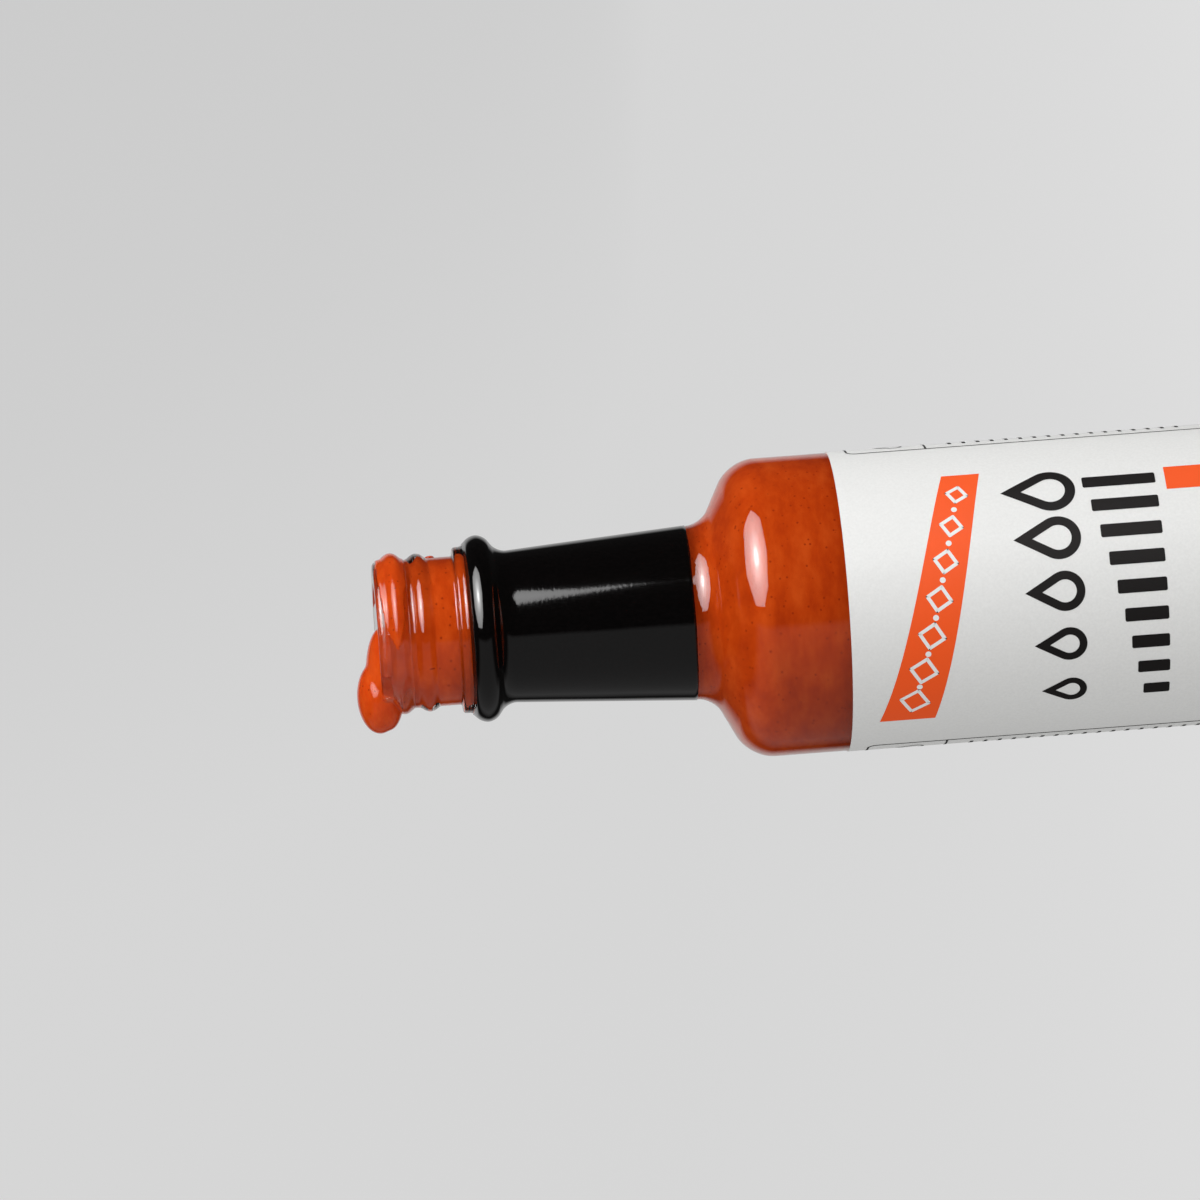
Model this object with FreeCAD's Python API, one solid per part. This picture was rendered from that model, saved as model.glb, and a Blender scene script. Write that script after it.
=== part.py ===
# A 150 ml hot sauce bottle of flint glass, standing upright and open, full to the lip.
#
# Frame: origin at the centre of the base, on the surface that it stands on, +Z up along the bottle's axis.
# The front of the label faces -Y. Millimetres. Depths are measured down from the lip.
#
# Pieces:
#   glass_bottle  bottle with a pushed-up base, straight body, round shoulder, tapered neck, pouring ring
#                 and a 24 mm screw finish with one and three quarter turns of round thread
#   sauce         the filling, up to the lip, and the mound that has run over one side of the lip
#   neck_sleeve   heat-shrunk film over the pouring ring and the neck
#   label         paper wrapped round the body, its two ends a narrow gap apart at the back

import FreeCAD, Part
import math
import os

# Bottle, outside
HEIGHT = 170.0
BODY_RADIUS = 23.0
HEEL_RADIUS = 3.6           # rounding between the body and the base
BEARING_RADIUS = 17.0       # inner edge of the ring that the bottle stands on
PUSH_UP = 2.2               # how far the middle of the base stands clear of the surface
SHOULDER_DEPTH = 51.1       # where the neck's line meets the shoulder's
SHOULDER_ANGLE = 62.9       # the shoulder's slope, in degrees from the axis
SHOULDER_ROUND = 6.2
NECK_FOOT_RADIUS = 13.55
NECK_FOOT_ROUND = 4.0
NECK_TOP_RADIUS = 11.5
NECK_TOP_DEPTH = 19.4
RING_RADIUS = 14.26         # the pouring ring, under the sleeve
RING_DEPTHS = (15.3, 17.3)
RING_ROUND = 2.1
COLLAR_RADIUS = 12.8        # the step between the screw finish and the pouring ring
COLLAR_DEPTHS = (12.45, 13.75)
FINISH_RADIUS = 11.44       # the plain wall between the turns of the thread
LIP_ROUND = 0.85

# Bottle, inside
BODY_WALL = 2.6
NECK_WALL = 3.1             # at the neck's foot
BASE_THICKNESS = 3.4        # at the middle
BORE_RADIUS = 7.6
BORE_DEPTH = 15.0           # where the bore starts to widen

# Screw thread
THREAD_PITCH = 3.97
THREAD_LEVEL = 1.3          # how far it lags behind an even helix at -X, so that it lies level at -Y
THREAD_DEPTH = 2.86         # of the first turn's crest at +X
THREAD_START = -70.0        # degrees from +X towards -Y, where it rises out of the wall
THREAD_END = 570.0          # degrees, where it has sunk back into the wall
THREAD_FADE = 45.0          # degrees that each end takes to do so
THREAD_WIDTH = 3.0
THREAD_HEIGHT = 0.8
THREAD_ROOT = 0.6           # how far its foot is sunk in the wall
THREAD_STEP = 15.0          # degrees between cross-sections

# Filling
SAUCE_DEPTH = 1.0           # its level in the bore
MOUND_CENTRE = (-6.6, 0, HEIGHT - 0.9)
MOUND_RADII = (8.0, 5.8, 3.0)
BEAD_CENTRE = (-9.4, 0, HEIGHT + 0.4)
BEAD_RADII = (5.6, 5.2, 3.3)

# Sleeve and label
SLEEVE_THICKNESS = 0.12
SLEEVE_DEPTHS = (13.9, 48.5)
LABEL_THICKNESS = 0.12
LABEL_TOP = 99.0            # above the base
LABEL_FOOT = 12.0
LABEL_GAP = 1.5

ORIGIN = FreeCAD.Vector(0, 0, 0)
AXIS = FreeCAD.Vector(0, 0, 1)


def at_depth(depth):
    """Height above the base of a depth below the lip."""
    return HEIGHT - depth


def shoulder_height(radius, drop=0.0):
    """Height at which the shoulder's slope, lowered by drop, reaches a radius."""
    run = (radius - NECK_FOOT_RADIUS) / math.tan(math.radians(SHOULDER_ANGLE))
    return at_depth(SHOULDER_DEPTH) - run - drop


def rounded_corner(before, corner, after, radius):
    """The arc of a radius that replaces a corner, tangent to both of its sides."""
    back = (before - corner).normalize()
    onward = (after - corner).normalize()
    half = back.getAngle(onward) / 2
    reach = radius / math.tan(half)
    to_centre = (back + onward).normalize()
    middle = corner + to_centre * (radius / math.sin(half) - radius)
    return Part.Arc(corner + back * reach, middle, corner + onward * reach)


def turned(corners):
    """The solid turned from corners (radius, height, rounding), of which the first and last are on the axis."""
    points = [FreeCAD.Vector(radius, 0, height) for radius, height, _ in corners]
    edges = []
    here = points[0]
    for i in range(1, len(points)):
        end = points[i]
        rounding = corners[i][2]
        if rounding:
            arc = rounded_corner(points[i - 1], points[i], points[i + 1], rounding)
            edges.append(Part.LineSegment(here, arc.StartPoint).toShape())
            edges.append(arc.toShape())
            end = arc.EndPoint
        else:
            edges.append(Part.LineSegment(here, end).toShape())
        here = end
    edges.append(Part.LineSegment(here, points[0]).toShape())
    return Part.Face(Part.Wire(edges)).revolve(ORIGIN, AXIS, 360)


def bottle_form(film=0.0):
    """The bottle's outer form with a closed mouth, the ring and the neck thickened by a film."""
    dish_rise = 0.7         # the pushed-up base slopes down this far before it turns to the bearing ring
    dish_round = 3.0
    bearing_round = 0.8
    neck_top_round = 2.8
    collar_rounds = (0.45, 0.8)
    root_round = 0.4
    return turned([
        (0, PUSH_UP, 0),
        (BEARING_RADIUS - dish_round, PUSH_UP - dish_rise, dish_round),
        (BEARING_RADIUS, 0, bearing_round),
        (BODY_RADIUS, 0, HEEL_RADIUS),
        (BODY_RADIUS, shoulder_height(BODY_RADIUS), SHOULDER_ROUND),
        (NECK_FOOT_RADIUS + film, at_depth(SHOULDER_DEPTH), NECK_FOOT_ROUND),
        (NECK_TOP_RADIUS + film, at_depth(NECK_TOP_DEPTH), neck_top_round - film),
        (RING_RADIUS + film, at_depth(RING_DEPTHS[1]), RING_ROUND + film),
        (RING_RADIUS + film, at_depth(RING_DEPTHS[0]), RING_ROUND + film),
        (COLLAR_RADIUS + film, at_depth(COLLAR_DEPTHS[1]), collar_rounds[1]),
        (COLLAR_RADIUS + film, at_depth(COLLAR_DEPTHS[0]), collar_rounds[0]),
        (FINISH_RADIUS, at_depth(COLLAR_DEPTHS[0]), root_round),
        (FINISH_RADIUS, HEIGHT, LIP_ROUND),
        (0, HEIGHT, 0),
    ])


def cavity(top):
    """The space inside the glass, up to a height."""
    radius = BODY_RADIUS - BODY_WALL
    neck_radius = NECK_FOOT_RADIUS - NECK_WALL
    drop = 3.3              # the shoulder's wall, measured along the axis
    floor = PUSH_UP + BASE_THICKNESS
    sag = 0.8               # the floor is lower round its edge than at the middle
    dip_round = 8.0
    heel_round = 3.5
    shoulder_round = 3.6
    neck_round = 7.0
    bore_round = 20.0
    return turned([
        (0, floor, 0),
        (radius - dip_round, floor - sag, dip_round),
        (radius, floor + sag, heel_round),
        (radius, shoulder_height(radius, drop), shoulder_round),
        (neck_radius, shoulder_height(neck_radius, drop), neck_round),
        (BORE_RADIUS, at_depth(BORE_DEPTH), bore_round),
        (BORE_RADIUS, top, 0),
        (0, top, 0),
    ])


def thread_section(angle, height):
    """The ridge's cross-section at an angle: a low arch of a height, on a foot sunk in the wall."""
    turn = math.radians(angle)
    outward = FreeCAD.Vector(math.cos(turn), -math.sin(turn), 0)
    depth = THREAD_DEPTH + THREAD_PITCH * angle / 360 - THREAD_LEVEL * (1 - math.cos(turn)) / 2
    half = THREAD_WIDTH / 2
    foot = FINISH_RADIUS - THREAD_ROOT
    haunch_height = 0.7     # as a share of the ridge's height
    haunch_width = 0.55     # as a share of its half width

    def point(radius, along):
        return outward * radius + AXIS * (at_depth(depth) + along)

    haunch = FINISH_RADIUS + haunch_height * height
    arch = Part.BSplineCurve()
    arch.interpolate([
        point(foot, -half),
        point(haunch, -haunch_width * half),
        point(FINISH_RADIUS + height, 0),
        point(haunch, haunch_width * half),
        point(foot, half),
    ])
    base = Part.LineSegment(point(foot, half), point(foot, -half))
    return Part.Wire([arch.toShape(), base.toShape()])


def thread():
    """A right-hand round thread whose ends sink into the wall."""
    sunk = -0.35            # the crest's height at the very ends, just under the wall
    count = round((THREAD_END - THREAD_START) / THREAD_STEP)
    sections = []
    for i in range(count + 1):
        angle = THREAD_START + (THREAD_END - THREAD_START) * i / count
        fade = min(1.0, (angle - THREAD_START) / THREAD_FADE, (THREAD_END - angle) / THREAD_FADE)
        height = sunk + (THREAD_HEIGHT - sunk) * math.sin(fade * math.pi / 2)
        sections.append(thread_section(angle, height))
    return Part.makeLoft(sections, True, False, False)


def glass_bottle():
    """The bottle with its thread and its cavity."""
    above_lip = HEIGHT + 1.0
    return bottle_form().fuse(thread()).cut(cavity(above_lip)).removeSplitter()


def ellipsoid(centre, radii):
    """A sphere stretched to three radii."""
    matrix = FreeCAD.Matrix()
    matrix.scale(FreeCAD.Vector(*radii))
    matrix.move(FreeCAD.Vector(*centre))
    return Part.makeSphere(1.0).transformGeometry(matrix)


def sauce(glass):
    """The filling, with the mound that has run over the lip at -X and the bead that clings outside it."""
    over_lip = ellipsoid(MOUND_CENTRE, MOUND_RADII).fuse(ellipsoid(BEAD_CENTRE, BEAD_RADII)).cut(glass)
    return cavity(at_depth(SAUCE_DEPTH)).fuse(over_lip).removeSplitter()


def neck_sleeve():
    """Film that follows the pouring ring and the neck."""
    top, foot = SLEEVE_DEPTHS
    band = Part.makeCylinder(BODY_RADIUS, foot - top, FreeCAD.Vector(0, 0, at_depth(foot)))
    return bottle_form(SLEEVE_THICKNESS).common(band).cut(bottle_form())


def label():
    """Paper round the body, open at the back."""
    height = LABEL_TOP - LABEL_FOOT
    foot = FreeCAD.Vector(0, 0, LABEL_FOOT)
    paper = Part.makeCylinder(BODY_RADIUS + LABEL_THICKNESS, height, foot)
    body = Part.makeCylinder(BODY_RADIUS, height, foot)
    gap = Part.makeBox(LABEL_GAP, 2 * BODY_RADIUS, height, foot - FreeCAD.Vector(LABEL_GAP / 2, 0, 0))
    return paper.cut(body).cut(gap)


def main():
    os.makedirs("parts", exist_ok=True)
    glass = glass_bottle()
    pieces = {
        "glass_bottle": glass,
        "sauce": sauce(glass),
        "neck_sleeve": neck_sleeve(),
        "label": label(),
    }
    for name, shape in pieces.items():
        shape.exportStep(f"parts/{name}.step")
        print(name, len(shape.Solids), "solid,", round(shape.Volume / 1000, 2), "cm3, valid", shape.isValid())


main()
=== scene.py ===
# A hot sauce bottle standing upright: clear glass full of sauce, a black shrink sleeve on its neck and a
# paper label round its body. The camera is rolled a quarter turn, so the bottle lies across the frame.
import math

import bmesh
import bpy
from mathutils import Matrix, Vector, noise


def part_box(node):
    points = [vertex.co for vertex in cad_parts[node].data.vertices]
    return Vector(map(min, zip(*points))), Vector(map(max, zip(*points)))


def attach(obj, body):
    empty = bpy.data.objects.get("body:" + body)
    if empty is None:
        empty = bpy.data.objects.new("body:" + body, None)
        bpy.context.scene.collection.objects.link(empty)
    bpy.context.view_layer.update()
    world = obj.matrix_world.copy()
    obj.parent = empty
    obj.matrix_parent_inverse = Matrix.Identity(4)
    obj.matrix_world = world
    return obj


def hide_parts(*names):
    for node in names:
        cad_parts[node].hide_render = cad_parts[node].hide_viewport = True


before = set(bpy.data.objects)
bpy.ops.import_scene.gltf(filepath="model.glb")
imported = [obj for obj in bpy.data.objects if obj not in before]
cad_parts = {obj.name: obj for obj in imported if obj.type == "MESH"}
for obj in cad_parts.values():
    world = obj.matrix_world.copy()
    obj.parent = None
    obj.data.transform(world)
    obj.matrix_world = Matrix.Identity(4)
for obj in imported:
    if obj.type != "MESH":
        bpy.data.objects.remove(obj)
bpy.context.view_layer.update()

# ---- Bottle ----------------------------------------------------------------------------------------------
# Flint (clear soda-lime) glass, pressed and blown in a two-part iron mould and fire polished: one piece
# from its pushed-up base to its screw finish. Sizes are in mm, heights from the base, depths from the lip.
MM = 0.001
_, glass_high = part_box("glass_bottle")
LIP = glass_high.z / MM
BODY_RADIUS = glass_high.x / MM
HEEL_ROUND = 3.6
BEARING_RADIUS = 17.0
PUSH_UP = 2.2
SHOULDER_DEPTH = 51.1
SHOULDER_ANGLE = math.radians(62.9)
SHOULDER_ROUND = 6.2
NECK_FOOT = 13.55        # the neck's radius where it leaves the shoulder
NECK_TOP = 11.5
NECK_TOP_DEPTH = 19.4
RING_RADIUS = 14.26
RING_FOOT_DEPTH = 17.3
RING_HEAD_DEPTH = 15.3
RING_ROUND = 2.1
COLLAR_RADIUS = 12.8
COLLAR_FOOT_DEPTH = 13.75
COLLAR_DEPTH = 12.45
FINISH_RADIUS = 11.44
LIP_ROUND = 0.85
BODY_WALL = 2.6
NECK_WALL = 3.1
SHOULDER_WALL = 3.3      # measured straight down
FLOOR = 5.6
BORE_RADIUS = 7.6
BORE_DEPTH = 15.0
AROUND = 288             # flats round the bottle
BARREL_CUTS = 72         # rings down the finish, for its thread
WALL_CUTS = 9            # rings down each long wall, for its waver
WAVER = 0.035            # how far the blown wall strays from true
WAVER_LENGTH = 14.0      # from one swell of it to the next


def shoulder_height(radius, drop=0.0):
    """Height of the shoulder's slope, lowered by drop, at a radius."""
    return LIP - SHOULDER_DEPTH - drop - (radius - NECK_FOOT) / math.tan(SHOULDER_ANGLE)


def outline(corners):
    """A wire through corners (radius, height, rounding) in the XZ plane, each rounded by a bevel."""
    wire = bmesh.new()
    points = [wire.verts.new((radius * MM, 0, height * MM)) for radius, height, _ in corners]
    for one, other in zip(points, points[1:]):
        wire.edges.new((one, other))
    for point, (_, _, rounding) in zip(points, corners):
        if rounding and len(point.link_edges) == 2:
            sides = [edge.other_vert(point).co - point.co for edge in point.link_edges]
            corner = sides[0].angle(sides[1])
            steps = max(4, round((math.pi - corner) / math.radians(5)))
            bmesh.ops.bevel(wire, geom=[point], offset=rounding * MM / math.tan(corner / 2), segments=steps,
                            profile=0.5, affect="VERTICES", offset_type="OFFSET", material=-1,
                            clamp_overlap=False)
    return wire


def spun(wire, turn=2 * math.pi, steps=AROUND):
    """Turns a wire about the bottle's axis, and closes its seam and its poles."""
    whole = turn > math.radians(359.9)
    bmesh.ops.spin(wire, geom=wire.verts[:] + wire.edges[:] + wire.faces[:], cent=(0, 0, 0), axis=(0, 0, 1),
                   dvec=(0, 0, 0), angle=turn, steps=steps, use_merge=whole, use_duplicate=False)
    bmesh.ops.remove_doubles(wire, verts=wire.verts[:], dist=1e-7)
    bmesh.ops.recalc_face_normals(wire, faces=wire.faces[:])
    return wire


def part(name, mesh_data, material, cad_node):
    """Makes a smooth-shaded piece from a bmesh, riding on the bottle and standing for its CAD node."""
    mesh = bpy.data.meshes.new(name)
    mesh_data.to_mesh(mesh)
    mesh_data.free()
    mesh.materials.append(material)
    mesh.shade_smooth()
    piece = bpy.data.objects.new(name, mesh)
    bpy.context.scene.collection.objects.link(piece)
    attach(piece, "root")
    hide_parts(cad_node)
    return piece


def outer_corners(film=0.0):
    """The glass's outer outline from the middle of its base to the lip, its neck thickened by a film."""
    return [
        (0, PUSH_UP, 0),
        (BEARING_RADIUS - 3.0, PUSH_UP - 0.7, 3.0),
        (BEARING_RADIUS, 0, 0.8),
        (BODY_RADIUS, 0, HEEL_ROUND),
        (BODY_RADIUS, shoulder_height(BODY_RADIUS), SHOULDER_ROUND),
        (NECK_FOOT + film, LIP - SHOULDER_DEPTH, 4.0),
        (NECK_TOP + film, LIP - NECK_TOP_DEPTH, 2.8 - film),
        (RING_RADIUS + film, LIP - RING_FOOT_DEPTH, RING_ROUND + film),
        (RING_RADIUS + film, LIP - RING_HEAD_DEPTH, RING_ROUND + film),
        (COLLAR_RADIUS + film, LIP - COLLAR_FOOT_DEPTH, 0.8),
        (COLLAR_RADIUS + film, LIP - COLLAR_DEPTH, 0.45),
        (FINISH_RADIUS, LIP - COLLAR_DEPTH, 0.4),
        (FINISH_RADIUS, LIP, LIP_ROUND),
    ]


def inner_corners(grow=0.0):
    """The cavity's outline from the bore down to the middle of its floor, its wall moved out by grow."""
    radius = BODY_RADIUS - BODY_WALL
    neck = NECK_FOOT - NECK_WALL
    return [
        (BORE_RADIUS + grow, LIP - BORE_DEPTH, 20.0),
        (neck + grow, shoulder_height(neck, SHOULDER_WALL), 7.0),
        (radius + grow, shoulder_height(radius, SHOULDER_WALL), 3.6),
        (radius + grow, FLOOR + 0.8 - grow, 3.5),
        (radius - 8.0, FLOOR - 0.8 - grow, 8.0),
        (0, FLOOR - grow, 0),
    ]


# The round thread: a ridge that winds down the finish, nearly level at the front and steeper at the back.
THREAD_DEPTH = 2.86      # of its crest at +X
THREAD_PITCH = 3.97
THREAD_SAG = 1.3         # how far a turn strays from an even helix
THREAD_START = -70.0     # degrees from +X towards -Y
THREAD_END = 570.0
THREAD_FADE = 50.0
THREAD_HALF_WIDTH = 1.65
THREAD_HEIGHT = 0.82


def thread_rise(angle, depth):
    """How far the thread stands out of the finish at an angle in degrees and a depth."""
    rise = 0.0
    for turn in (-360, 0, 360):
        along = angle + turn
        if THREAD_START < along < THREAD_END:
            sag = THREAD_SAG * (1 - math.cos(math.radians(along))) / 2
            crest = THREAD_DEPTH + THREAD_PITCH * along / 360 - sag
            off = abs(depth - crest) / THREAD_HALF_WIDTH
            if off < 1:
                fade = min(1.0, (along - THREAD_START) / THREAD_FADE, (THREAD_END - along) / THREAD_FADE)
                ridge = (1 - off ** 2.2) ** 1.6
                rise = max(rise, THREAD_HEIGHT * math.sin(fade * math.pi / 2) * ridge)
    return rise


def finish_radius(angle, depth):
    """Radius of the finish with its thread."""
    return FINISH_RADIUS + thread_rise(angle, depth)


def angle_of(point):
    """Angle of a point about the axis, in degrees from +X towards -Y, from -180 to 180."""
    return math.degrees(math.atan2(-point.y, point.x))


def bottle_mesh():
    """The whole wall as one closed outline turned, with its thread raised and its waver."""
    corners = outer_corners() + [(BORE_RADIUS, LIP, LIP_ROUND)] + inner_corners()
    wire = outline(corners)
    barrel = [e for e in wire.edges
              if all(abs(v.co.x - FINISH_RADIUS * MM) < 1e-6 for v in e.verts) and e.calc_length() > 8 * MM]
    bmesh.ops.subdivide_edges(wire, edges=barrel, cuts=BARREL_CUTS)
    walls = [e for e in wire.edges if e.calc_length() > 15 * MM]
    bmesh.ops.subdivide_edges(wire, edges=walls, cuts=WALL_CUTS)
    bottle = spun(wire)
    for v in bottle.verts:
        radius = math.hypot(v.co.x, v.co.y) / MM
        height = v.co.z / MM
        if radius < BORE_RADIUS + 2 or height < 8:
            continue
        grown = radius + WAVER * noise.noise(v.co / (WAVER_LENGTH * MM))
        if radius > FINISH_RADIUS - 0.02 and LIP - height < COLLAR_DEPTH - 0.4:
            grown += thread_rise(angle_of(v.co), LIP - height)
        v.co.x *= grown / radius
        v.co.y *= grown / radius
    return bottle


def linear(code):
    """The linear colour, with alpha, of an sRGB hex code."""
    values = [int(code[i:i + 2], 16) / 255 for i in (1, 3, 5)]
    return [v / 12.92 if v <= 0.04045 else ((v + 0.055) / 1.055) ** 2.4 for v in values] + [1.0]


def node(material, kind, links=(), **settings):
    """Adds a node. Settings are sockets by name or the node's own properties; links, (socket, output)."""
    made = material.node_tree.nodes.new(kind)
    for key, value in settings.items():
        if hasattr(made, key):
            setattr(made, key, value)
        else:
            made.inputs[key.replace("_", " ")].default_value = value
    for socket, output in links:
        material.node_tree.links.new(made.inputs[socket], output)
    return made


def new_material(name):
    """An empty node material."""
    material = bpy.data.materials.new(name)
    material.use_nodes = True
    material.node_tree.nodes.clear()
    return material


def ramp(material, factor, *stops):
    """A colour ramp over (position, hex code) stops."""
    made = node(material, "ShaderNodeValToRGB", [("Fac", factor)])
    band = made.color_ramp
    while len(band.elements) < len(stops):
        band.elements.new(0.5)
    for element, (position, code) in zip(band.elements, stops):
        element.position = position
        element.color = linear(code)
    return made.outputs["Color"]


def flint_glass():
    """Fire-polished soda-lime glass: clear and mirror-smooth, with the slow ripple of a blown wall. Light
    that only passes through on its way to the sauce goes straight, so the sauce is lit as through a real
    wall."""
    m = new_material("flint_glass_blown")
    place = node(m, "ShaderNodeTexCoord").outputs["Object"]
    ripple = node(m, "ShaderNodeTexNoise", [("Vector", place)], Scale=1 / (9 * MM), Detail=2.0)
    bump = node(m, "ShaderNodeBump", [("Height", ripple.outputs["Fac"])], Strength=0.12, Distance=0.05 * MM)
    glass = node(m, "ShaderNodeBsdfPrincipled", [("Normal", bump.outputs["Normal"])], Roughness=0.0,
                 IOR=1.52, Transmission_Weight=1.0, Base_Color=linear("#FBFDFC"))
    straight = node(m, "ShaderNodeBsdfTransparent", Color=linear("#F4F8F6"))
    path = node(m, "ShaderNodeLightPath")
    rays = [(0, path.outputs["Is Shadow Ray"]), (1, path.outputs["Is Diffuse Ray"])]
    passing = node(m, "ShaderNodeMath", rays, operation="MAXIMUM")
    mixed = node(m, "ShaderNodeMixShader", [("Fac", passing.outputs[0])])
    m.node_tree.links.new(mixed.inputs[1], glass.outputs[0])
    m.node_tree.links.new(mixed.inputs[2], straight.outputs[0])
    node(m, "ShaderNodeOutputMaterial", [("Surface", mixed.outputs[0])])
    return m


part("bottle_glass", bottle_mesh(), flint_glass(), "glass_bottle")

# ---- Sauce in the bottle ---------------------------------------------------------------------------------
# Smooth chilli sauce: blended chillies, vinegar and starch, thick enough to hold a heap. It fills the
# cavity and wets the glass, so it reaches a little into the wall and shows no gloss of its own through it.
WETTING = 0.1            # how far it reaches into the wall
PLUG_FOOT = 5.0          # depth at which the filling below meets the sauce in the mouth


def sauce_colour(m, place):
    """Blended sauce: red-orange with clouds of pulp and dark skin flecks. Shade is painted into its colour:
    it is a little deeper by the label, where the paper keeps the light out, and deepest towards -X there,
    the side away from the key light."""
    drawn = node(m, "ShaderNodeVectorMath", [(0, place)], operation="MULTIPLY")
    drawn.inputs[1].default_value = (1, 1, 2.2)
    cloud = node(m, "ShaderNodeTexNoise", [("Vector", drawn.outputs[0])], Scale=1 / (6 * MM), Detail=5.0,
                 Roughness=0.62)
    base = ramp(m, cloud.outputs["Fac"], (0.3, "#BF390A"), (0.5, "#D2450D"), (0.7, "#E05317"))
    fleck = node(m, "ShaderNodeTexVoronoi", [("Vector", place)], Scale=1 / (1.3 * MM), Randomness=1.0)
    fleck_mask = ramp(m, fleck.outputs["Distance"], (0.09, "#FFFFFF"), (0.16, "#000000"))
    flecked = node(m, "ShaderNodeMix", [(0, fleck_mask), (6, base)], data_type="RGBA")
    flecked.inputs[7].default_value = linear("#A93209")
    axes = node(m, "ShaderNodeSeparateXYZ", [("Vector", place)])
    shades = []
    # the painted shade on the -X side, the height at which it ends, and the painted shade by the paper:
    # from, to, how deep
    for axis, start, end, depth in (("X", -20, 2, 0.72), ("Z", 103, 116, 0.72), ("Z", 96, 122, 0.80)):
        shade = node(m, "ShaderNodeMapRange", [("Value", axes.outputs[axis])], From_Min=start * MM,
                     From_Max=end * MM, To_Min=depth, interpolation_type="SMOOTHSTEP")
        shades.append(shade.outputs[0])
    # painted shade: darker towards -X, kept below the shoulder, and darker again by the label
    painted_side_shade = node(m, "ShaderNodeMath", [(0, shades[0]), (1, shades[1])], operation="MAXIMUM")
    painted_shade = node(m, "ShaderNodeMath", [(0, painted_side_shade.outputs[0]), (1, shades[2])], operation="MULTIPLY")
    toned = node(m, "ShaderNodeVectorMath", [(0, flecked.outputs[2]), ("Scale", painted_shade.outputs[0])],
                 operation="SCALE")
    return toned.outputs[0]


def chilli_sauce(name, exposed):
    """Puree of chillies: opaque and saturated. In air it is wet and glossy over a fine pulp. Against glass
    its gloss is gone, because the two refract nearly alike."""
    m = new_material(name)
    place = node(m, "ShaderNodeTexCoord").outputs["Object"]
    sauce = node(m, "ShaderNodeBsdfPrincipled", [("Base Color", sauce_colour(m, place))],
                 Roughness=0.1 if exposed else 0.8, IOR=1.4)
    if exposed:
        pulp = node(m, "ShaderNodeTexNoise", [("Vector", place)], Scale=1 / (0.7 * MM), Detail=2.0)
        bump = node(m, "ShaderNodeBump", [("Height", pulp.outputs["Fac"])], Strength=0.25,
                    Distance=0.06 * MM)
        sauce.inputs["Subsurface Weight"].default_value = 0.25
        sauce.inputs["Subsurface Radius"].default_value = (1.0, 0.25, 0.08)
        sauce.inputs["Subsurface Scale"].default_value = 0.8 * MM
        m.node_tree.links.new(sauce.inputs["Normal"], bump.outputs["Normal"])
    else:
        sauce.inputs["Specular IOR Level"].default_value = 0.0
    node(m, "ShaderNodeOutputMaterial", [("Surface", sauce.outputs[0])])
    return m


filling = spun(outline([(0, LIP - PLUG_FOOT, 0), (BORE_RADIUS + WETTING, LIP - PLUG_FOOT, 0)]
                       + inner_corners(WETTING)))
part("sauce_filling", filling, chilli_sauce("chilli_sauce_behind_glass", False), "sauce")

# ---- Sauce in the mouth ----------------------------------------------------------------------------------
# The last of the filling, level with the lip on one side, and the heap of it that has run over the other
# side and hangs there as a thick bead. It is held by its own stiffness and clings to the fire-polished lip.
MOUND = ((-6.6, 0, -0.9), (8.0, 5.8, 3.0))      # centre from the lip's middle, half sizes
BEAD = ((-9.4, 0, 0.4), (5.6, 5.2, 3.3))
LEVEL_DEPTH = 1.0                               # of the surface at the axis
LEVEL_SLOPE = 0.12                              # how much lower it is towards +X
SKIN_STEP = 0.22                                # of the skin drawn round it
SINK = 0.03                                     # how deep it beds into the glass's surface


def mouth_sauce():
    """The plug in the bore with its sloping level, and the mound and the bead as stretched spheres."""
    lump = bmesh.new()
    for centre, sizes in (MOUND, BEAD):
        middle = Matrix.Translation(Vector(centre) * MM + Vector((0, 0, LIP * MM)))
        stretch = Matrix.Diagonal((*sizes, 1))
        bmesh.ops.create_icosphere(lump, subdivisions=5, radius=MM, matrix=middle @ stretch)
    radius = (BORE_RADIUS + WETTING) * MM
    middle = Matrix.Translation((0, 0, (LIP - (PLUG_FOOT + LEVEL_DEPTH) / 2) * MM))
    plug = bmesh.ops.create_cone(lump, cap_ends=True, segments=96, radius1=radius, radius2=radius,
                                 depth=(PLUG_FOOT - LEVEL_DEPTH) * MM, matrix=middle)
    for v in plug["verts"]:
        if v.co.z > (LIP - LEVEL_DEPTH - 0.1) * MM:
            v.co.z -= LEVEL_SLOPE * v.co.x
    return lump


def remeshed(lump, voxel, rounds):
    """One skin round overlapping shapes, then smoothed so that they run together."""
    mesh = bpy.data.meshes.new("lump")
    lump.to_mesh(mesh)
    lump.free()
    holder = bpy.data.objects.new("lump", mesh)
    bpy.context.scene.collection.objects.link(holder)
    remesh = holder.modifiers.new("skin", "REMESH")
    remesh.mode = "VOXEL"
    remesh.voxel_size = voxel * MM
    joined = bmesh.new()
    joined.from_object(holder, bpy.context.evaluated_depsgraph_get())
    bpy.data.objects.remove(holder)
    for _ in range(rounds):
        bmesh.ops.smooth_vert(joined, verts=joined.verts[:], factor=0.5, use_axis_x=True, use_axis_y=True,
                              use_axis_z=True)
    return joined


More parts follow.
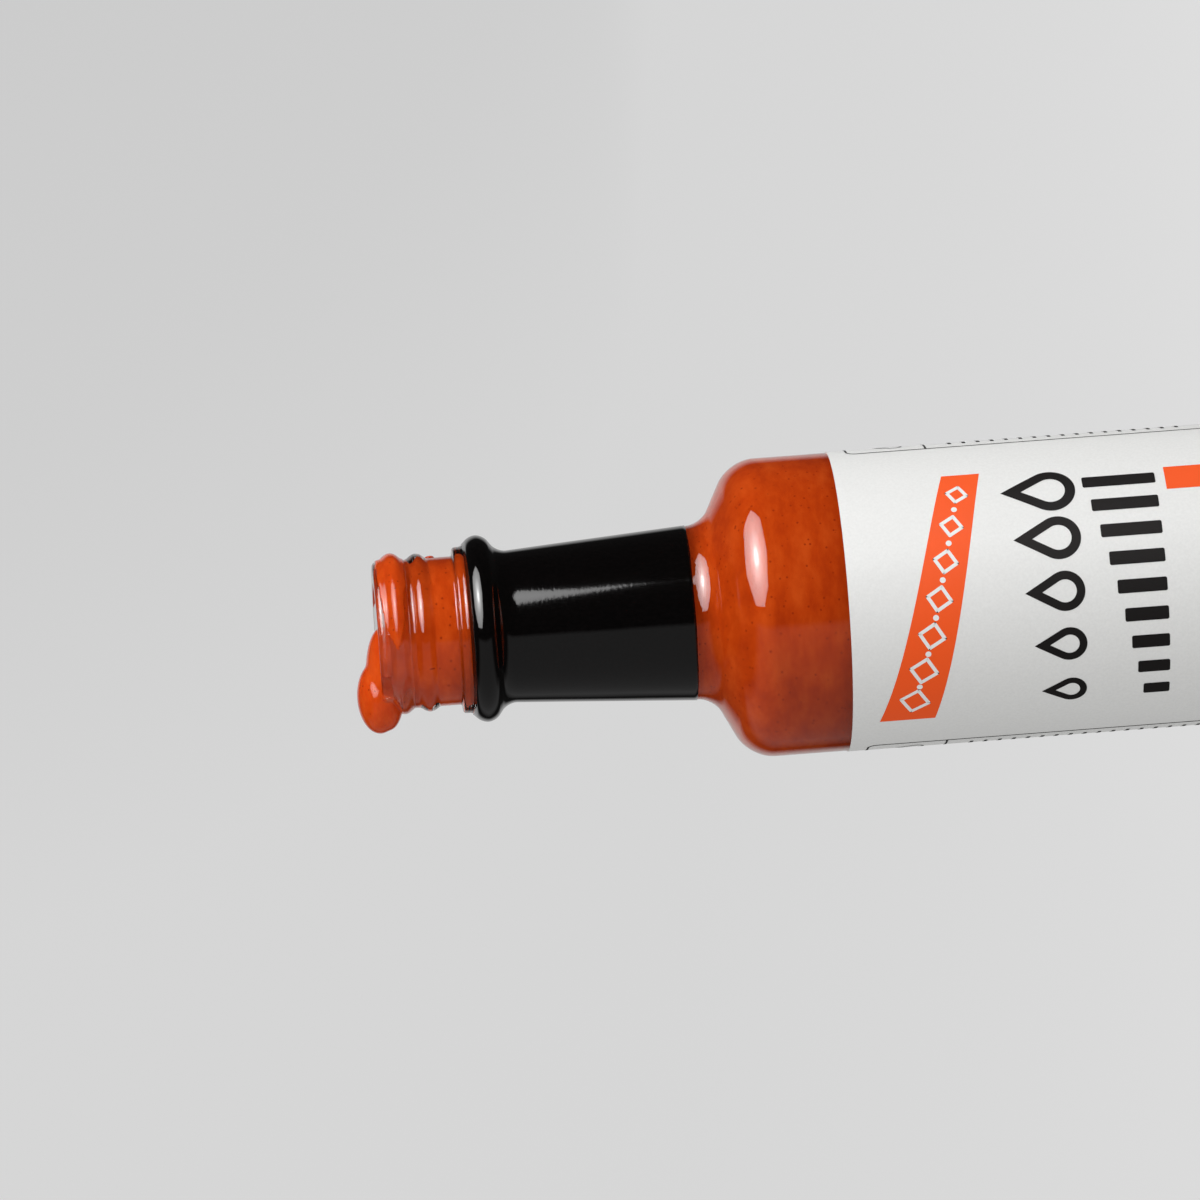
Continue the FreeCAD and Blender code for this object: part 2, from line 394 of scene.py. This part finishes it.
def keep_off_glass(skin):
    """Moves what would lie inside the glass to its surface, and presses the plug to the bore."""
    for v in skin.verts:
        radius = math.hypot(v.co.x, v.co.y) / MM
        depth = LIP - v.co.z / MM
        if radius < BORE_RADIUS + WETTING + 0.3:
            if radius > BORE_RADIUS - 0.5 and depth > LEVEL_DEPTH + 1.2 + LEVEL_SLOPE * v.co.x / MM:
                v.co.x *= (BORE_RADIUS + WETTING) / radius
                v.co.y *= (BORE_RADIUS + WETTING) / radius
            continue
        outer = finish_radius(angle_of(v.co), depth) - SINK
        inner_edge = max(0.0, BORE_RADIUS + LIP_ROUND - radius)
        outer_edge = max(0.0, radius - FINISH_RADIUS + LIP_ROUND)
        edge = min(LIP_ROUND, max(inner_edge, outer_edge))
        land = LIP_ROUND - math.sqrt(LIP_ROUND ** 2 - edge ** 2) + SINK
        if depth > land and radius < outer:
            up = depth - land
            out = outer - radius
            inward = radius - BORE_RADIUS - WETTING
            if up <= min(out, inward):
                v.co.z += up * MM
            else:
                target = outer if out < inward else BORE_RADIUS + WETTING
                v.co.x *= target / radius
                v.co.y *= target / radius


skin = remeshed(mouth_sauce(), SKIN_STEP, 14)
keep_off_glass(skin)
bmesh.ops.recalc_face_normals(skin, faces=skin.faces[:])
part("sauce_mouth", skin, chilli_sauce("chilli_sauce_wet", True), "sauce")

# ---- Sauce on the finish ---------------------------------------------------------------------------------
# A thin coat of sauce left on the outside of the first ridge when the bottle was turned, and a stray drop
# behind the second. Each patch is thickest in the middle and runs out to nothing on the glass.
PATCHES = (
    # angle, depth, half sizes in degrees and mm, thickness
    (18.0, 2.7, 84.0, 2.3, 0.36),
    (-8.0, 9.0, 9.0, 0.8, 0.35),
)
COAT_BODY = 0.05         # the wall given to the skin of each patch


def smear(ink, angle, depth, half_angle, half_depth, thickness):
    """One patch: a grid over the finish, kept where the coat has thickness."""
    made = bmesh.ops.create_grid(ink, x_segments=int(half_angle * 1.6) + 8, y_segments=26, size=1.0)
    thin = []
    for v in made["verts"]:
        across, along = v.co.x, v.co.y
        edge = 0.22 * noise.noise(Vector((across * half_angle / 14, along * half_depth / 1.2, angle)))
        swell = 1 - math.hypot(across, along) ** 2.5 + edge
        if swell <= 0:
            thin.append(v)
            continue
        turn = angle + across * half_angle
        down = depth + along * half_depth
        radius = (finish_radius(turn, down) + thickness * min(1.0, 1.3 * swell) ** 0.5 - 0.02) * MM
        if down < LIP_ROUND:
            radius -= (LIP_ROUND - math.sqrt(LIP_ROUND ** 2 - (LIP_ROUND - max(0.0, down)) ** 2)) * MM
        a = math.radians(turn)
        v.co = Vector((radius * math.cos(a), -radius * math.sin(a), (LIP - down) * MM))
    bmesh.ops.delete(ink, geom=thin, context="VERTS")


coat = bmesh.new()
for patch in PATCHES:
    smear(coat, *patch)
bmesh.ops.recalc_face_normals(coat, faces=coat.faces[:])
for face in coat.faces:
    if face.normal.dot(face.calc_center_median() * Vector((1, 1, 0))) < 0:
        face.normal_flip()
coat_piece = part("sauce_coat", coat, chilli_sauce("chilli_sauce_coat", True), "sauce")
body = coat_piece.modifiers.new("body", "SOLIDIFY")
body.thickness = COAT_BODY * MM
body.offset = -1

# ---- Neck sleeve -----------------------------------------------------------------------------------------
# Black PVC film, cut as a tube and shrunk on with hot air over the pouring ring and the neck. It follows
# every curve of the glass, its lapped seam stands up a little at the back, and its cut ends waver.
sleeve_low, sleeve_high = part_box("neck_sleeve")
FILM = 0.12              # how far its outside stands off the glass
SEAM = 0.05              # how far its lapped seam at the back stands up
SEAM_HALF_ANGLE = 7.0


def sleeve_mesh():
    """The film's outside: the neck's outline moved out and cut to length, with its seam and uneven ends."""
    wire = outline(outer_corners(FILM))
    for height, side in ((sleeve_low.z, -1), (sleeve_high.z, 1)):
        bmesh.ops.bisect_plane(wire, geom=wire.verts[:] + wire.edges[:], plane_co=(0, 0, height),
                               plane_no=(0, 0, side), clear_outer=True)
    long_runs = [e for e in wire.edges if e.calc_length() > 2 * MM]
    bmesh.ops.subdivide_edges(wire, edges=long_runs, cuts=40)
    sleeve = spun(wire)
    for v in sleeve.verts:
        radius = math.hypot(v.co.x, v.co.y)
        ripple = 0.02 * noise.noise(Vector((v.co.x, v.co.y, v.co.z / 4)) / (3 * MM))
        from_seam = abs(math.degrees(math.atan2(v.co.x, v.co.y)))
        seam = SEAM * max(0.0, 1 - from_seam / SEAM_HALF_ANGLE) ** 0.3
        v.co.x *= 1 + (ripple + seam) * MM / radius
        v.co.y *= 1 + (ripple + seam) * MM / radius
        if v.co.z > sleeve_high.z - 0.05 * MM:
            v.co.z -= 0.12 * MM * (1 + noise.noise(v.co / (4 * MM)))
        if v.co.z < sleeve_low.z + 0.05 * MM:
            v.co.z += 0.10 * MM * (1 + noise.noise(v.co / (5 * MM)))
    return sleeve


def shrink_film():
    """Extruded PVC film, heat shrunk: black right through and glossy, with the faint orange peel that
    shrinking leaves."""
    m = new_material("pvc_film_shrunk")
    place = node(m, "ShaderNodeTexCoord").outputs["Object"]
    peel = node(m, "ShaderNodeTexNoise", [("Vector", place)], Scale=1 / (0.5 * MM), Detail=2.0)
    bump = node(m, "ShaderNodeBump", [("Height", peel.outputs["Fac"])], Strength=0.2, Distance=0.02 * MM)
    tone = ramp(m, peel.outputs["Fac"], (0.35, "#040303"), (0.7, "#080606"))
    film = node(m, "ShaderNodeBsdfPrincipled", [("Base Color", tone), ("Normal", bump.outputs["Normal"])],
                Roughness=0.05, IOR=1.5)
    node(m, "ShaderNodeOutputMaterial", [("Surface", film.outputs[0])])
    return m


sleeve = part("neck_sleeve_film", sleeve_mesh(), shrink_film(), "neck_sleeve")
wall = sleeve.modifiers.new("film", "SOLIDIFY")
wall.thickness = (FILM - 0.01) * MM
wall.offset = -1

# ---- Label -----------------------------------------------------------------------------------------------
# White coated paper, printed flat, die cut and glued right round the body by machine, its two ends a narrow
# gap apart at the back.
label_low, label_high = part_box("label")
LABEL_RADIUS = label_high.x / MM
LABEL_FOOT = label_low.z / MM
LABEL_TOP = label_high.z / MM
PAPER = 0.11             # its thickness with the glue
GAP = 1.5
LABEL_STEPS = 240


def label_mesh():
    """The paper's cut edge turned round the body, from one side of the gap to the other."""
    corners = [(LABEL_RADIUS - PAPER, LABEL_FOOT), (LABEL_RADIUS, LABEL_FOOT), (LABEL_RADIUS, LABEL_TOP),
               (LABEL_RADIUS - PAPER, LABEL_TOP)]
    sheet = bmesh.new()
    verts = [sheet.verts.new((radius * MM, 0, height * MM)) for radius, height in corners]
    sheet.faces.new(verts)
    start = math.pi / 2 + GAP / 2 / LABEL_RADIUS
    bmesh.ops.rotate(sheet, verts=sheet.verts[:], cent=(0, 0, 0), matrix=Matrix.Rotation(start, 3, "Z"))
    return spun(sheet, 2 * math.pi - GAP / LABEL_RADIUS, LABEL_STEPS)


def label_paper():
    """Coated paper, calendered: matte white with the faintest fibre, and a little sheen from the coat."""
    m = new_material("coated_paper_calendered")
    place = node(m, "ShaderNodeTexCoord").outputs["Object"]
    fibre = node(m, "ShaderNodeTexNoise", [("Vector", place)], Scale=1 / (0.4 * MM), Detail=4.0)
    bump = node(m, "ShaderNodeBump", [("Height", fibre.outputs["Fac"])], Strength=0.15, Distance=0.02 * MM)
    tone = ramp(m, fibre.outputs["Fac"], (0.3, "#E9E9E7"), (0.7, "#EFEFED"))
    paper = node(m, "ShaderNodeBsdfPrincipled", [("Base Color", tone), ("Normal", bump.outputs["Normal"])],
                 Roughness=0.55, IOR=1.5)
    node(m, "ShaderNodeOutputMaterial", [("Surface", paper.outputs[0])])
    return m


label = part("label_paper_wrap", label_mesh(), label_paper(), "label")
label.data.set_sharp_from_angle(angle=math.radians(30))

# ---- Label print -----------------------------------------------------------------------------------------
# Offset inks laid flat on the paper: a slanted orange strip with a white string of lozenges on it, black
# drops, bars and discs, and two thin-framed side panels. Each shape is cut flat, u mm round from the middle
# of the front and v mm up the bottle, and then bent round it.
ORANGE_LIFT = 0.02       # off the paper
BLACK_LIFT = 0.035       # and that of the white, which is laid over the orange
BEND_STEP = 1.0          # mm between the folds that let a flat shape bend
PANEL_EDGE = 30.3        # where the side panels begin, round from the middle of the front
PANEL_WIDTH = 39.0
PANEL_HEIGHT = 81.0
PANEL_MIDDLE = 55.8      # height
PANEL_LINE = 0.3


def hollowed(ink, face, stroke):
    """Leaves only a border of a face, where a stroke is given."""
    if stroke:
        bmesh.ops.inset_individual(ink, faces=[face], thickness=stroke, use_even_offset=True)
        bmesh.ops.delete(ink, geom=[face], context="FACES_ONLY")


def block(ink, u, v, width, height, corner, stroke=0.0, turn=0.0):
    """A bar with rounded corners, a disc or, with a stroke, a frame or ring, centred at u, v and turned."""
    made = bmesh.ops.create_circle(ink, cap_ends=True, segments=32, radius=corner,
                                   matrix=Matrix.Rotation(math.pi / 32, 4, "Z"))
    for vert in made["verts"]:
        vert.co.x += math.copysign(width / 2 - corner, vert.co.x)
        vert.co.y += math.copysign(height / 2 - corner, vert.co.y)
    place = Matrix.Translation((u, v, 0)) @ Matrix.Rotation(turn, 4, "Z")
    bmesh.ops.transform(ink, matrix=place, verts=made["verts"])
    hollowed(ink, made["verts"][0].link_faces[0], stroke)


def drop(ink, u, v, radius, stroke=0.0):
    """A drop: the lower part of a disc, its sides drawn up straight into a point."""
    made = bmesh.ops.create_circle(ink, cap_ends=True, segments=60, radius=radius,
                                   matrix=Matrix.Translation((u, v, 0)))
    tip = max(made["verts"], key=lambda vert: vert.co.y)
    drawn = [vert for vert in made["verts"] if vert.co.y - v > 0.52 * radius and vert is not tip]
    tip.co = Vector((u, v + 2 * radius, 0))
    bmesh.ops.dissolve_verts(ink, verts=drawn)
    hollowed(ink, tip.link_faces[0], stroke)


def printed(name, ink, lift, colour):
    """Folds the flat shapes every BEND_STEP, bends them round the paper and inks them."""
    reach = max(abs(v.co.x) for v in ink.verts)
    for i in range(-int(reach / BEND_STEP), int(reach / BEND_STEP) + 1):
        bmesh.ops.bisect_plane(ink, geom=ink.verts[:] + ink.edges[:] + ink.faces[:],
                               plane_co=(i * BEND_STEP + 0.013, 0, 0), plane_no=(1, 0, 0), dist=1e-5)
    radius = LABEL_RADIUS + lift
    for v in ink.verts:
        angle = v.co.x / LABEL_RADIUS
        v.co = Vector((radius * math.sin(angle), -radius * math.cos(angle), v.co.y)) * MM
    for face in ink.faces:
        face.normal_update()
        if face.normal.dot(face.calc_center_median() * Vector((1, 1, 0))) < 0:
            face.normal_flip()
    return part(name, ink, printing_ink(name, colour), "label")


def printing_ink(name, code):
    """Offset ink on coated paper: flat and matte, with a trace of mottle where the paper drinks it."""
    m = new_material(f"offset_ink_{name}")
    place = node(m, "ShaderNodeTexCoord").outputs["Object"]
    mottle = node(m, "ShaderNodeTexNoise", [("Vector", place)], Scale=1 / (0.3 * MM), Detail=3.0)
    base = linear(code)
    light = [min(1.0, c * 1.08 + 0.002) for c in base[:3]] + [1.0]
    mixed = node(m, "ShaderNodeMix", [(0, mottle.outputs["Fac"])], data_type="RGBA")
    mixed.inputs[6].default_value = base
    mixed.inputs[7].default_value = light
    ink = node(m, "ShaderNodeBsdfPrincipled", [("Base Color", mixed.outputs[2])], Roughness=0.55, IOR=1.5,
               Specular_IOR_Level=0.22)
    node(m, "ShaderNodeOutputMaterial", [("Surface", ink.outputs[0])])
    return m


def strip_middle(along):
    """Middle of the slanted strip in u, v, and its width there, along 0 to 1."""
    return -21.8 + 42.2 * along, 90.6 - 10.7 * along, 8.5 - 2.7 * along


def orange_shapes():
    """The slanted strip, the block beside the bars, and a disc at the foot of each side panel."""
    ink = bmesh.new()
    strip = bmesh.ops.create_grid(ink, x_segments=24, y_segments=1, size=0.5)
    for vert in strip["verts"]:
        u, v, width = strip_middle(vert.co.x + 0.5)
        vert.co = Vector((u, v + vert.co.y * width, 0))
    block(ink, 16.5, 45.5, 4.5, 7.0, 0.05)
    for side in (-1, 1):
        block(ink, side * 51.5, 22.0, 6.0, 6.0, 3.0)
    return ink


LOZENGES = 7


def white_shapes():
    """A string of hollow lozenges along the strip, with a dot between each two."""
    ink = bmesh.new()
    for i in range(LOZENGES):
        u, v, width = strip_middle((i + 0.75) / (LOZENGES + 0.5))
        block(ink, u, v, 0.44 * width, 0.44 * width, 0.25, 0.55, math.radians(31))
    for i in range(LOZENGES - 1):
        u, v, _ = strip_middle((i + 1.25) / (LOZENGES + 0.5))
        block(ink, u, v, 0.9, 0.9, 0.45)
    return ink


def black_shapes():
    """On the front a row of drops, of rising bars, of discs and rings, and four rules; on each side panel a
    frame, a heading of small drops and lines of rules; and a comb of fine bars on one of them."""
    ink = bmesh.new()
    for i in range(5):
        drop(ink, -17.5 + 8.3 * i, 65.5 + 0.3 * i, 2.3 + 0.38 * i, 1.05 + 0.13 * i)
    for i in range(9):
        height = 4.0 + 0.9 * i
        block(ink, -18.5 + 4.4 * i, 50.5 + height / 2, 2.1, height, 0.3)
    for i in range(5):
        block(ink, -18.0 + 6.6 * i, 42.0, 5.0, 5.0, 2.5, 1.5 if i % 2 else 0.0)
    for i, width in enumerate((30.0, 24.0, 28.0, 20.0)):
        block(ink, 0, 33.0 - 3.0 * i, width, 0.9, 0.3)
    for side in (-1, 1):
        middle = side * (PANEL_EDGE + PANEL_WIDTH / 2)
        block(ink, middle, PANEL_MIDDLE, PANEL_WIDTH, PANEL_HEIGHT, 1.6, PANEL_LINE)
        block(ink, middle, 84.0, PANEL_WIDTH, PANEL_LINE, 0.1)
        for i in range(3):
            drop(ink, side * (PANEL_EDGE + 4.0 + 5.0 * i), 88.8, 1.5, PANEL_LINE)
        for i in range(17):
            length = (24.0, 30.0, 27.0, 32.0, 21.0)[i % 5]
            block(ink, side * (PANEL_EDGE + 2.5 + length / 2), 80.0 - 2.2 * i, length, 0.55, 0.2)
    for i in range(18):
        block(ink, PANEL_EDGE + 4.6, 38.0 - 1.15 * i, 6.0, 0.5, 0.05)
    return ink


printed("label_print_orange", orange_shapes(), ORANGE_LIFT, "#FF5813")
printed("label_print_white", white_shapes(), BLACK_LIFT, "#EDEEEC")
printed("label_print_black", black_shapes(), BLACK_LIFT, "#120D0C")

# ---- Studio ----------------------------------------------------------------------------------------------
# A pale sweep of card under and round the object, seen only by the camera, an eight-sided soft box out from
# the neck's front and +X side, and an even pale world whose reflection is mostly dark, as an unlit room is.
SWEEP_RADIUS = 3000
SWEEP_HEIGHT = 3200
SWEEP_ROUND = 900


def sweep_mesh():
    """A floor that turns up into a wall all round, in one curve."""
    wire = outline([(0, 0, 0), (SWEEP_RADIUS, 0, SWEEP_ROUND), (SWEEP_RADIUS, SWEEP_HEIGHT, 0)])
    return spun(wire, steps=96)


def sweep_card():
    """Matte background card, a little darker towards its far +X side, as the light falls off across it."""
    m = new_material("background_card")
    place = node(m, "ShaderNodeTexCoord").outputs["Object"]
    axes = node(m, "ShaderNodeSeparateXYZ", [("Vector", place)])
    tilt = node(m, "ShaderNodeMath", [(0, axes.outputs["X"])], operation="MULTIPLY")
    tilt.inputs[1].default_value = 2.5
    away = node(m, "ShaderNodeMath", [(0, axes.outputs["Y"]), (1, tilt.outputs[0])], operation="ADD")
    fall = node(m, "ShaderNodeMapRange", [("Value", away.outputs[0])])
    fall.inputs["From Max"].default_value = 4.0
    tone = ramp(m, fall.outputs[0], (0.0, "#DADADA"), (0.6, "#D7D7D7"), (0.75, "#D0D0D0"),
                (0.95, "#CCCCCC"))
    card = node(m, "ShaderNodeBsdfDiffuse", [("Color", tone)])
    glow = node(m, "ShaderNodeEmission", [("Color", tone)], Strength=1.25)
    mixed = node(m, "ShaderNodeMixShader", Fac=0.6)
    m.node_tree.links.new(mixed.inputs[1], card.outputs[0])
    m.node_tree.links.new(mixed.inputs[2], glow.outputs[0])
    node(m, "ShaderNodeOutputMaterial", [("Surface", mixed.outputs[0])])
    return m


sweep_data = bpy.data.meshes.new("sweep")
sweep_bm = sweep_mesh()
sweep_bm.to_mesh(sweep_data)
sweep_bm.free()
sweep_data.materials.append(sweep_card())
sweep_data.shade_smooth()
sweep = bpy.data.objects.new("sweep", sweep_data)
bpy.context.scene.collection.objects.link(sweep)
for sight in ("visible_diffuse", "visible_glossy", "visible_transmission", "visible_shadow"):
    setattr(sweep, sight, False)

KEY_AIM = Vector((0, 0, 0.128))      # metres: low on the neck


def soft_box(name, azimuth, elevation, distance, width, power):
    """A soft box facing the neck: azimuth in degrees from -Y towards +X, elevation towards the mouth."""
    lamp = bpy.data.lights.new(name, "AREA")
    lamp.shape = "DISK"
    lamp.size = width
    lamp.energy = power
    box = bpy.data.objects.new(name, lamp)
    a, e = math.radians(azimuth), math.radians(elevation)
    towards = Vector((math.sin(a) * math.cos(e), -math.cos(a) * math.cos(e), math.sin(e)))
    box.matrix_world = (Matrix.Translation(KEY_AIM + towards * distance)
                        @ (-towards).to_track_quat("-Z", "Y").to_matrix().to_4x4())
    bpy.context.scene.collection.objects.link(box)
    return box


key = soft_box("key_soft_box", 46, 32, 0.5, 0.58, 1.75)
key.visible_glossy = False

# its lit face as gloss shows it: eight sides, a hot bulb in the middle, paling to the rim
face = soft_box("key_soft_box_face", 44, 33, 0.5, 0.80, 4.9)
face.visible_diffuse = False
face.data.shape = "ELLIPSE"
face.data.size_y = 0.56
face.data.use_nodes = True
glow = face.data
glow.node_tree.nodes.clear()
across = node(glow, "ShaderNodeNewGeometry").outputs["Parametric"]
centred = node(glow, "ShaderNodeVectorMath", [(0, across)], operation="SUBTRACT")
centred.inputs[1].default_value = (0.5, 0.5, 0)
corner = node(glow, "ShaderNodeVectorMath", [(0, centred.outputs[0])], operation="ABSOLUTE")
reach = []
for side in ((0.924, 0.383, 0), (0.383, 0.924, 0)):
    flat = node(glow, "ShaderNodeVectorMath", [(0, corner.outputs[0])], operation="DOT_PRODUCT")
    flat.inputs[1].default_value = side
    reach.append(flat.outputs["Value"])
eight = node(glow, "ShaderNodeMath", [(0, reach[0]), (1, reach[1])], operation="MAXIMUM")
fall = ramp(glow, eight.outputs[0], (0.0, "#FFFFFF"), (0.03, "#FFFFFF"), (0.10, "#B4B4B4"),
            (0.24, "#888888"), (0.455, "#6C6C6C"), (0.465, "#000000"))
lit = node(glow, "ShaderNodeEmission", [("Color", fall)], Strength=7.0)
node(glow, "ShaderNodeOutputLight", [("Surface", lit.outputs[0])])

world = bpy.data.worlds.new("studio")
bpy.context.scene.world = world
world.use_nodes = True
world.node_tree.nodes.clear()
WORLD_DIFFUSE = 0.58
direction = node(world, "ShaderNodeTexCoord").outputs["Generated"]
axes = node(world, "ShaderNodeSeparateXYZ", [("Vector", direction)])
turn = node(world, "ShaderNodeMath", [(0, axes.outputs["X"]), (1, axes.outputs["Y"])], operation="ARCTAN2")
share = node(world, "ShaderNodeMapRange", [("Value", turn.outputs[0])])
share.inputs["From Min"].default_value = -math.pi
share.inputs["From Max"].default_value = math.pi
# a turn about the bottle: 0 and 1 are behind the camera, a quarter is -X, a half behind the bottle
room = ramp(world, share.outputs[0], (0.0, "#000000"), (0.035, "#000000"), (0.05, "#FFFFFF"),
            (0.36, "#FFFFFF"), (0.40, "#000000"), (1.0, "#000000"))
height = node(world, "ShaderNodeMath", [(0, axes.outputs["Z"])], operation="ABSOLUTE")
level = node(world, "ShaderNodeMapRange", [("Value", height.outputs[0])])
backdrop = node(world, "ShaderNodeMapRange", [("Value", axes.outputs["Y"])])
for band, start, end, first, last in ((level, 0.70, 0.85, 0.26, 0.0), (backdrop, 0.84, 0.93, 0.02, 0.55)):
    band.inputs["From Min"].default_value = start
    band.inputs["From Max"].default_value = end
    band.inputs["To Min"].default_value = first
    band.inputs["To Max"].default_value = last
side = node(world, "ShaderNodeMath", [(0, room), (1, level.outputs[0])], operation="MULTIPLY")
seen = node(world, "ShaderNodeMath", [(0, side.outputs[0]), (1, backdrop.outputs[0])], operation="MAXIMUM")
glossy = node(world, "ShaderNodeBackground", [("Strength", seen.outputs[0])], Color=linear("#FFFFFF"))
plain = node(world, "ShaderNodeBackground", Color=linear("#FFFFFF"), Strength=WORLD_DIFFUSE)
path = node(world, "ShaderNodeLightPath")
# what the clear glass shows by bending light is the plain room, so it stays pale
outside = node(world, "ShaderNodeMath", [(0, path.outputs["Transmission Depth"])], operation="LESS_THAN")
outside.inputs[1].default_value = 0.5
mirrored = node(world, "ShaderNodeMath", [(0, path.outputs["Is Glossy Ray"]), (1, outside.outputs[0])],
                operation="MULTIPLY")
chosen = node(world, "ShaderNodeMixShader", [("Fac", mirrored.outputs[0])])
world.node_tree.links.new(chosen.inputs[1], plain.outputs[0])
world.node_tree.links.new(chosen.inputs[2], glossy.outputs[0])
node(world, "ShaderNodeOutputWorld", [("Surface", chosen.outputs[0])])
bpy.context.scene.view_settings.view_transform = "Standard"

# ---- Camera ----------------------------------------------------------------------------------------------
# A long lens, square to the label's front and looking a little down, rolled so that the standing bottle
# lies across the frame with its mouth to the left and a little low.
camera_data = bpy.data.cameras.new("camera")
camera_data.lens = 239.0
camera_data.sensor_width = 36.0
camera = bpy.data.objects.new("camera", camera_data)
bpy.context.scene.collection.objects.link(camera)
AIM = Vector((3.0, 0, LIP - 34.7)) * MM
DISTANCE = 1.2253
DIP = math.radians(3.07)     # how far the lens looks down
ROLL = math.radians(4.3)
forward = Vector((0, math.cos(DIP), -math.sin(DIP)))
level_up = Vector((1, 0, 0))
level_right = forward.cross(level_up)
right = level_right * math.cos(ROLL) - level_up * math.sin(ROLL)
up = level_right * math.sin(ROLL) + level_up * math.cos(ROLL)
stand = Matrix.Translation(AIM - forward * DISTANCE)
camera.matrix_world = stand @ Matrix((right, up, -forward)).transposed().to_4x4()
bpy.context.scene.camera = camera
